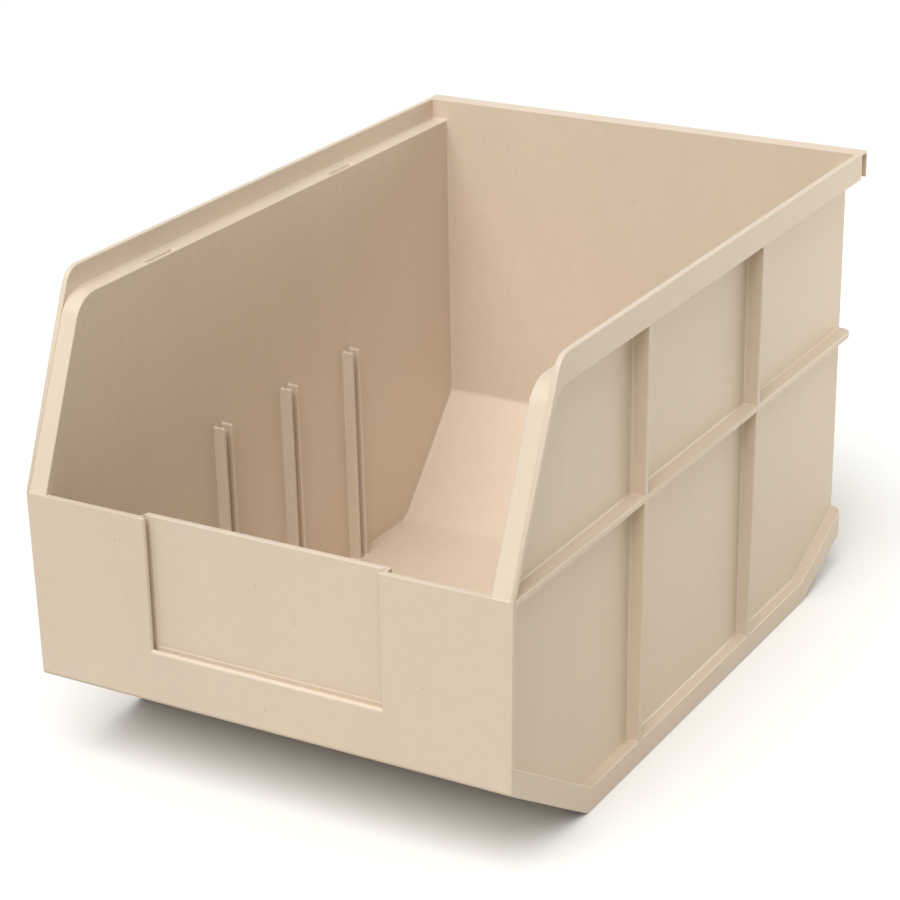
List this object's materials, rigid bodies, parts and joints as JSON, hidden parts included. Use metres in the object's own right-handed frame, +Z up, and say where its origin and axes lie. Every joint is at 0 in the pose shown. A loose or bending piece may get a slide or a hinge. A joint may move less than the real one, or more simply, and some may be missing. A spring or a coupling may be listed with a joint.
{
  "type": "stackable shelf bin",
  "caption": "Open-front stackable shelf bin with a low front wall, label recess, stacking ledges, outer ribs, rear hanging lip and divider guides.",
  "frame": {"origin": "under the middle of the base, on the surface that the bin stands on", "axes": "+Y from the low front wall to the back wall, +X to the right seen from the front, +Z up"},
  "size_m": [0.2032, 0.3048, 0.186],
  "materials": {
    "shell": "satin ivory moulded polypropylene"
  },
  "bodies": {
    "root": {"floor_pan": "shell", "front_ramp": "shell", "rear_ramp": "shell", "front_wall": "shell", "back_wall": "shell", "rear_hang_lip": "shell", "left_side_wall": "shell", "right_side_wall": "shell", "left_stacking_rim": "shell", "right_stacking_rim": "shell", "left_base_rail": "shell", "right_base_rail": "shell", "left_front_rib": "shell", "right_front_rib": "shell", "left_rear_rib": "shell", "right_rear_rib": "shell", "left_level_rib": "shell", "right_level_rib": "shell", "left_divider_guides": "shell", "right_divider_guides": "shell"}
  },
  "joints": []
}
